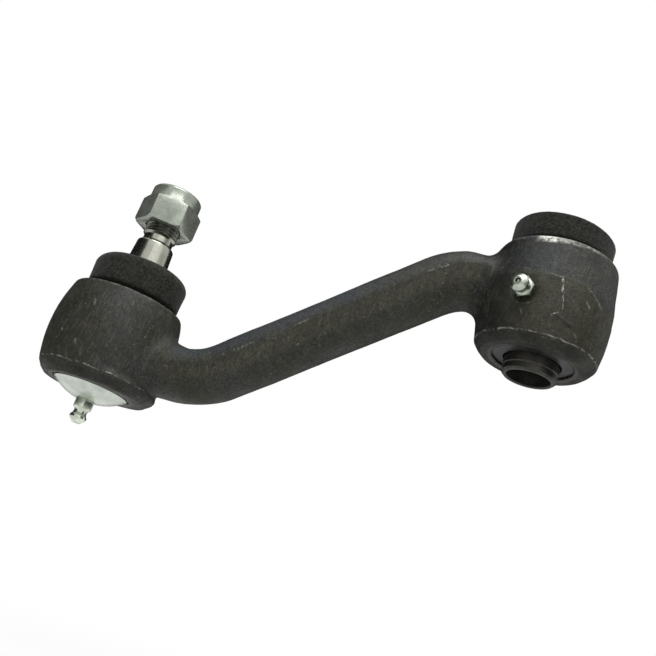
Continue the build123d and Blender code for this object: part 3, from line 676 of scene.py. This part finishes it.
# Pivot dust ring: cut from black cellular rubber and fitted round the sleeve on top of the
# pivot boss, as its twin is round the stud. Open cells speckle it, and its top edge is
# rubbed round.
def draw_line(piece_name, points):
    """A chain of edges through points, drawn by extruding one vertex."""
    bpy.ops.object.select_all(action="DESELECT")
    bpy.ops.mesh.primitive_plane_add(size=MM, location=(0, 0, 0))
    piece = bpy.context.object
    piece.name = piece_name
    bpy.ops.object.mode_set(mode="EDIT")
    bpy.ops.mesh.select_all(action="SELECT")
    bpy.ops.mesh.merge(type="CENTER")
    bpy.ops.transform.translate(value=points[0])
    for start, end in zip(points, points[1:]):
        step = Vector(end) - Vector(start)
        bpy.ops.mesh.extrude_region_move(TRANSFORM_OT_translate={"value": step})
    return piece


def turn_piece(piece_name, axis_x, outline, steps, closed):
    """Spins an outline of (radius, level) points about an upright axis, as on a lathe."""
    route = outline + (outline[:1] if closed else [])
    piece = draw_line(piece_name, [(axis_x + radius, 0, level) for radius, level in route])
    bpy.ops.mesh.select_all(action="SELECT")
    bpy.ops.mesh.spin(steps=steps, angle=2 * pi, center=(axis_x, 0, 0), axis=(0, 0, 1))
    bpy.ops.mesh.select_all(action="SELECT")
    bpy.ops.mesh.remove_doubles(threshold=merge_gap)
    bpy.ops.mesh.normals_make_consistent(inside=False)
    bpy.ops.object.mode_set(mode="OBJECT")
    bpy.ops.object.shade_smooth()
    return piece


def arc_points(centre_r, centre_z, radius, start_deg, end_deg, count):
    """Points of an arc in (radius, level), without its first one."""
    turns = [radians(start_deg + (end_deg - start_deg) * step / count) for step in range(1, count + 1)]
    return [(centre_r + radius * cos(turn), centre_z + radius * sin(turn)) for turn in turns]


def line_points(start, end, count):
    """Evenly spaced points of a line in (radius, level), without its first one."""
    return [(start[0] + (end[0] - start[0]) * step / count, start[1] + (end[1] - start[1]) * step / count)
            for step in range(1, count + 1)]


cell_black = (0.006, 0.0063, 0.005, 1)
cell_olive = (0.034, 0.035, 0.027, 1)
cell_pale = (0.15, 0.15, 0.12, 1)
# Colour of the painted shadow at a dust ring's foot.
foot_shadow_colour = (0.0025, 0.0025, 0.002, 1)
seal_finish, tree, surface, place = new_finish("cellular_rubber")
cells = shader_node(tree, "TexVoronoi", {"Vector": place, "Scale": 1250.0, "Randomness": 1.0})
cell_depth = reckon(tree, "MULTIPLY", cells.outputs["Distance"], 0.14)
cell_relief = shader_node(tree, "Bump", {"Height": cell_depth, "Distance": MM, "Strength": 0.9})
base = colour_mix(tree, times(tree, clouded(tree, place, 800.0, 0.40, 0.60), 0.55), cell_black, cell_olive)
base = colour_mix(tree, times(tree, clouded(tree, place, 1300.0, 0.58, 0.68), 0.26), base, cell_pale)
base = colour_mix(tree, times(tree, clouded(tree, place, 90.0, 0.4, 0.7), 0.25), base, cell_olive)
# A painted shadow darkens each ring's foot, where it stands on the boss.
foot_shade = shader_node(tree, "Attribute", attribute_name="foot_shade").outputs["Fac"]
base = colour_mix(tree, times(tree, foot_shade, 0.92), base, foot_shadow_colour)
feed(tree, surface, {"Base Color": base, "Roughness": 0.86, "Specular IOR Level": 0.2,
                     "Normal": cell_relief.outputs["Normal"], "Sheen Weight": 0.08})


def soft_ring(piece_name, node_name, axis_x, bore_r, mouth_r, foot_in, shoulder, lean, side, flare):
    """A cellular ring inside its node's box, drawn in at its foot, rounded at its shoulder,
    pressed down by lean on the side towards +X or, with side -1, towards -X, and standing
    out by flare towards +X."""
    low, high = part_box(node_name)
    outer = (high.x - low.x) / 2 + 0.1 * MM
    foot, top = low.z + 0.05 * MM, high.z - 0.12 * MM
    edge = 0.4 * MM
    start = (outer - foot_in, foot + 1.0 * MM)
    bulge = (outer - 0.35 * MM, foot + 2.3 * MM)
    waist = (outer - 0.2 * MM, foot + 0.4 * (top - foot))
    outline = [(outer - foot_in - 0.3 * MM, foot)]
    for corner, count in ((start, 2), (bulge, 3), (waist, 4), ((outer, top - shoulder), 6)):
        outline += line_points(outline[-1], corner, count)
    outline += arc_points(outer - shoulder, top - shoulder, shoulder, 0, 90, 8)
    outline += line_points((outer - shoulder, top), (bore_r + edge, top), 7)
    outline += line_points((bore_r + edge, top), (bore_r, top - edge), 1)
    outline += line_points((bore_r, top - edge), (mouth_r, foot), 12)
    ring = turn_piece(piece_name, axis_x, outline, 112, closed=True)
    ring_points = points_of(ring)
    settled = ease(ring_points[:, 2], foot + 0.3 * (top - foot), top)
    ring_points[:, 2] -= settled * (lean * 0.5 + lean * 0.5 * side * (ring_points[:, 0] - axis_x) / outer)
    off_axis = (ring_points[:, 0] - axis_x) / outer
    ring_points[:, 0] += flare * np.maximum(off_axis, 0) ** 2 * ease(ring_points[:, 2], foot, foot + 4 * MM)
    put_points(ring, ring_points)
    apply_modifier(ring, "SUBSURF", levels=1, render_levels=1)
    uneven(ring, piece_name + "_sag", 13 * MM, 0.35 * MM)
    uneven(ring, piece_name + "_cells", 0.9 * MM, 0.16 * MM)
    # Where the painted shadow at the ring's foot lies.
    put_mask(ring, "foot_shade", ease(foot + 3.4 * MM - points_of(ring)[:, 2], 0, 2.6 * MM))
    give_finish(ring, seal_finish)
    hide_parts(node_name)
    return ring


sleeve_r = 10.5 * MM
ring_bore = sleeve_r + 0.5 * MM
pivot_ring = soft_ring("pivot_dust_ring", "pivot_seal", pivot_x, bore_r=ring_bore, mouth_r=ring_bore,
                       foot_in=1.4 * MM, shoulder=1.2 * MM, lean=2.2 * MM, side=1, flare=0)
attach(pivot_ring, "arm")


# Socket pieces: hidden in the stud boss are the hardened socket seat, half ball and
# pressure seat, ground bright and oily, and the blued disc spring that presses them
# together. The check balls of the grease fittings are ground too.
ground_finish = turned_finish(
    "ground_hard_steel", stud_x, dark=(0.10, 0.095, 0.085, 1), light=(0.46, 0.46, 0.45, 1),
    metallic=1.0, rough_range=(0.16, 0.3), lines=5200.0, depth=0.008, stain=0.4)
for hard_piece in ("socket_seat", "half_ball", "pressure_seat", "pivot_fitting_ball", "cover_fitting_ball"):
    refinish(hard_piece, ground_finish)
refinish("disc_spring", turned_finish(
    "blued_spring_steel", stud_x, dark=(0.02, 0.03, 0.06, 1), light=(0.12, 0.13, 0.17, 1),
    metallic=1.0, rough_range=(0.25, 0.4), lines=1500.0, depth=0.012, stain=0.6))


# Ball stud: one turned piece of bright steel, with a ball head inside the boss, a ground
# taper, a relief groove, and a rolled thread for the lock nut.
thread_pitch = 1.411 * MM
thread_r = 7.12 * MM
root_r = 6.3 * MM
relief_top = -10.9 * MM
stud_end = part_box("ball_stud")[1].z - 0.05 * MM
thread_chamfer = 1.3 * MM
stud_turned = start_from("ball_stud", "stud_turned")
bpy.ops.object.mode_set(mode="EDIT")
bpy.ops.mesh.select_all(action="SELECT")
bpy.ops.mesh.bisect(plane_co=(stud_x, 0, relief_top - 0.1 * MM), plane_no=(0, 0, 1), use_fill=True,
                    clear_outer=True)
bpy.ops.object.mode_set(mode="OBJECT")
bpy.ops.object.shade_smooth_by_angle(angle=radians(30))

# The thread is a closed turned core, with its helix drawn out of it by each point's turn
# and level. Both of its ends are chamfered.
thread_foot = relief_top - 0.2 * MM
thread_rows = 170
crest_share, flank_share = 0.08, 0.84
chamfer_slope, runout_slope = 0.75, 0.9
thread_outline = [(0, thread_foot)] + line_points((0, thread_foot), (root_r, thread_foot), 2)
thread_outline += line_points((root_r, thread_foot), (root_r, stud_end), thread_rows)
thread_outline += line_points((root_r, stud_end), (0, stud_end), 2)
stud_thread = turn_piece("stud_thread", stud_x, thread_outline, 72, closed=False)
thread_points = points_of(stud_thread)
out = thread_points[:, :2] - (stud_x, 0)
reach = np.hypot(*out.T)
turn_share = np.arctan2(out[:, 1], out[:, 0]) / (2 * pi)
off_crest = np.abs((thread_points[:, 2] / thread_pitch - turn_share) % 1 - 0.5) * 2
wanted = thread_r - (thread_r - root_r) * np.clip((off_crest - crest_share) / flank_share, 0, 1)
past_chamfer = np.maximum(thread_points[:, 2] - (stud_end - thread_chamfer), 0)
past_runout = np.maximum(relief_top + 0.7 * MM - thread_points[:, 2], 0)
wanted = np.minimum(wanted, thread_r - chamfer_slope * past_chamfer)
wanted = np.minimum(wanted, thread_r - runout_slope * past_runout)
on_thread = reach > root_r - 0.1 * MM
thread_points[:, :2] = (stud_x, 0) + out * np.where(on_thread, wanted / np.maximum(reach, 1e-6), 1)[:, None]
put_points(stud_thread, thread_points)
bpy.ops.object.shade_smooth_by_angle(angle=radians(40))

stud_finish = turned_finish(
    "stud_bright_steel", stud_x, dark=(0.14, 0.135, 0.105, 1), light=(0.40, 0.405, 0.35, 1),
    metallic=1.0, rough_range=(0.14, 0.28), lines=2600.0, depth=0.005, stain=0.3)
thread_finish = turned_finish(
    "stud_rolled_thread", stud_x, dark=(0.05, 0.05, 0.04, 1), light=(0.27, 0.27, 0.24, 1),
    metallic=0.9, rough_range=(0.3, 0.45), lines=1800.0, depth=0.01, stain=0.8)
for piece, finish in ((stud_turned, stud_finish), (stud_thread, thread_finish)):
    give_finish(piece, finish)
    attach(piece, "stud")
    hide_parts("ball_stud")


# Stud dust ring: of the same cellular rubber, round the stud. Its shape is baked in place and it is joined to
# no body, so nothing here makes it flex as the stud tilts.
stud_ring = soft_ring("stud_dust_ring", "stud_seal", stud_x, bore_r=9.1 * MM, mouth_r=13.7 * MM,
                      foot_in=1.7 * MM, shoulder=4.5 * MM, lean=0.9 * MM, side=-1, flare=0.6 * MM)
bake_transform(stud_ring)


# Lock nut: a zinc plated hexagon nut, its corners rounded by the forming, and its collar
# rolled in over a nylon ring.
def soften(piece, width, dissolve_deg=2.5, over_deg=28):
    """Joins a merged copy's flat facets and rounds its sharp edges."""
    take_up(piece)
    bpy.ops.object.mode_set(mode="EDIT")
    bpy.ops.mesh.select_all(action="SELECT")
    bpy.ops.mesh.dissolve_limited(angle_limit=radians(dissolve_deg))
    bpy.ops.object.mode_set(mode="OBJECT")
    apply_modifier(piece, "BEVEL", width=width, segments=2, limit_method="ANGLE",
                   angle_limit=radians(over_deg), use_clamp_overlap=True, harden_normals=False)
    bpy.ops.object.shade_smooth_by_angle(angle=radians(25))


def plated_finish(name, dark, light, rough_range, size=1.0, metallic=1.0):
    """Zinc plate: a satin grey with soft clouds, small stains and fine handling marks."""
    finish, tree, surface, place = new_finish(name)
    cloud = clouded(tree, place, 220.0 * size, 0.35, 0.65)
    spots = clouded(tree, place, 1100.0 * size, 0.6, 0.74)
    colour = colour_mix(tree, times(tree, cloud, 0.5), light, dark)
    colour = colour_mix(tree, times(tree, spots, 0.6), colour, dark)
    feed(tree, surface, {
        "Base Color": colour, "Roughness": number_mix(tree, cloud, *rough_range),
        "Metallic": metallic, "Normal": grained(tree, place, 420.0, 2600.0, 0.03)})
    return finish


nut_finish = plated_finish("nut_zinc", dark=(0.13, 0.145, 0.12, 1), light=(0.34, 0.37, 0.315, 1),
                           rough_range=(0.12, 0.28), metallic=0.6)
nut_body = start_from("lock_nut", "nut_body")
soften(nut_body, 0.22 * MM)
give_finish(nut_body, nut_finish)
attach(nut_body, "stud")
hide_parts("lock_nut")
nylon_finish, tree, surface, place = new_finish("insert_nylon")
nylon_cloud = clouded(tree, place, 500.0, 0.4, 0.7)
feed(tree, surface, {
    "Base Color": colour_mix(tree, nylon_cloud, (0.62, 0.60, 0.52, 1), (0.50, 0.47, 0.38, 1)),
    "Roughness": number_mix(tree, nylon_cloud, 0.42, 0.55),
    "Normal": grained(tree, place, 700.0, 3000.0, 0.02), "Subsurface Weight": 0.1})
refinish("nut_insert", nylon_finish)


# Cover plate: a pressed domed steel disc, zinc plated, crimped in the bottom of the stud
# boss.
refinish("cover_plate", plated_finish(
    "cover_zinc", dark=(0.40, 0.44, 0.40, 1), light=(0.62, 0.66, 0.60, 1), rough_range=(0.28, 0.38),
    size=0.7))


# Grease fittings: two short plated fittings with hexagons and ball tips, screwed into the
# pivot boss's side and into the middle of the cover.
for node_name, piece_name, dark, light in (
        ("pivot_fitting", "side_grease_fitting", (0.27, 0.30, 0.25, 1), (0.50, 0.545, 0.46, 1)),
        ("cover_fitting", "cover_grease_fitting", (0.34, 0.375, 0.31, 1), (0.72, 0.78, 0.66, 1))):
    fitting = start_from(node_name, piece_name)
    soften(fitting, 0.12 * MM)
    give_finish(fitting, plated_finish(piece_name + "_zinc", dark, light, (0.24, 0.36), size=1.6))
    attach(fitting, "arm")
    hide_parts(node_name)


# Camera, floor and light: the camera stands a little below the arm and looks up at it,
# turned on its own axis. A pale floor lies under the arm, with a soft lamp above it, one to
# the front right, and dark felt cards round it.
camera_place = Vector((-11.69, -288.55, -130.15)) * MM
camera_target = Vector((-78.31, 0, -29.22)) * MM
camera_roll = radians(19.87)
bpy.ops.object.camera_add(location=camera_place)
camera = bpy.context.object
aim = (camera_target - camera_place).to_track_quat("-Z", "Y")
camera.rotation_mode = "QUATERNION"
camera.rotation_quaternion = aim @ Quaternion((0, 0, 1), camera_roll)
camera.data.lens = 43.80
camera.data.sensor_width = 36
camera.data.clip_start = 0.01
bpy.context.scene.camera = camera
seen = camera.rotation_quaternion.to_matrix()
scene_middle = Vector((-80, 0, -20)) * MM


def light_from(name, direction, distance, size, power):
    """A square lamp that faces the arm, its direction by the camera's right, up and back."""
    direction = (seen @ Vector(direction)).normalized()
    bpy.ops.object.light_add(type="AREA", location=scene_middle + direction * distance)
    lamp = bpy.context.object
    lamp.name = name
    lamp.data.size = size
    lamp.data.energy = power
    lamp.rotation_euler = direction.to_track_quat("Z", "Y").to_euler()


light_from("key_lamp", (0.38, 1.0, 0.15), distance=0.95, size=0.8, power=8.5)
light_from("fill_lamp", (0.75, 0.35, 1.0), distance=1.3, size=1.3, power=3.0)


def stage_plane(name, place, facing, width, finish):
    """A flat square of the studio, not part of the arm."""
    bpy.ops.object.select_all(action="DESELECT")
    bpy.ops.mesh.primitive_plane_add(size=width, location=place)
    plane = bpy.context.object
    plane.name = name
    plane.rotation_euler = Vector(facing).to_track_quat("Z", "Y").to_euler()
    bpy.ops.object.transform_apply(location=True, rotation=True, scale=True)
    plane.data.materials.append(finish)
    return plane


# Dark cards for contrast in the steel, which the camera doesn't see.
card_finish, tree, surface, place = new_finish("dark_card")
felt = clouded(tree, place, 30.0, 0.3, 0.7)
feed(tree, surface, {"Base Color": colour_mix(tree, felt, (0.02, 0.02, 0.02, 1), (0.03, 0.03, 0.03, 1)),
                     "Roughness": 0.95, "Specular IOR Level": 0.1})
for card_name, card_place, facing, width in (
        ("left_card", (-0.45, -0.16, -0.02), (1, 0.25, 0), 0.55),
        ("right_card", (0.28, -0.10, -0.05), (-1, 0, 0), 0.4),
        ("back_card", scene_middle + seen @ Vector((0, 0, -0.40)), seen @ Vector((0, 0, 1)), 1.3),
        ("front_card", scene_middle + seen @ Vector((0.06, -0.10, 0.60)), seen @ Vector((0, 0, -1)), 0.36)):
    card = stage_plane(card_name, card_place, facing, width, card_finish)
    card.visible_camera = False
    card.visible_diffuse = False
    card.visible_shadow = False


def white_rays(tree):
    """1 for rays from the eye, from gloss and through glass, which see the background as white."""
    rays = tree.nodes.new("ShaderNodeLightPath").outputs
    eye_or_gloss = largest(tree, rays["Is Camera Ray"], rays["Is Glossy Ray"])
    return largest(tree, eye_or_gloss, rays["Is Transmission Ray"])


# The floor glows white to the eye, and a little less under the arm, where a shadow may show.
floor_level = -0.175
near_floor, far_floor = 0.12, 0.34
near_glow = 0.86
floor_finish = bpy.data.materials.new("pale_floor")
floor_finish.use_nodes = True
tree = floor_finish.node_tree
tree.nodes.clear()
floor_place = tree.nodes.new("ShaderNodeTexCoord").outputs["Object"]
floor_reach = reckon_points(tree, "LENGTH", {0: floor_place}, "Value")
floor_glow = eased(tree, floor_reach, near_floor, far_floor, near_glow, 1.0)
paint = shader_node(tree, "BsdfDiffuse", {"Color": (0.8, 0.8, 0.8, 1)})
glow = shader_node(tree, "Emission", {"Color": (1, 1, 1, 1), "Strength": 1.0})
floor_mix = shader_node(tree, "MixShader", {
    0: times(tree, white_rays(tree), floor_glow), 1: paint.outputs["BSDF"], 2: glow.outputs["Emission"]})
shader_node(tree, "OutputMaterial", {"Surface": floor_mix.outputs["Shader"]})
stage_plane("floor", (stud_x / 2, 0, floor_level), facing=(0, 0, 1), width=6, finish=floor_finish)

# The white surroundings light the arm evenly, at less than half of what the eye sees.
sky_level = 0.45
sky = bpy.data.worlds.new("studio_white")
sky.use_nodes = True
tree = sky.node_tree
tree.nodes.clear()
sky_strength = number_mix(tree, white_rays(tree), sky_level, 1.0)
sky_light = shader_node(tree, "Background", {"Color": (1, 1, 1, 1), "Strength": sky_strength})
shader_node(tree, "OutputWorld", {"Surface": sky_light.outputs["Background"]})
bpy.context.scene.world = sky
bpy.context.scene.view_settings.view_transform = "Standard"
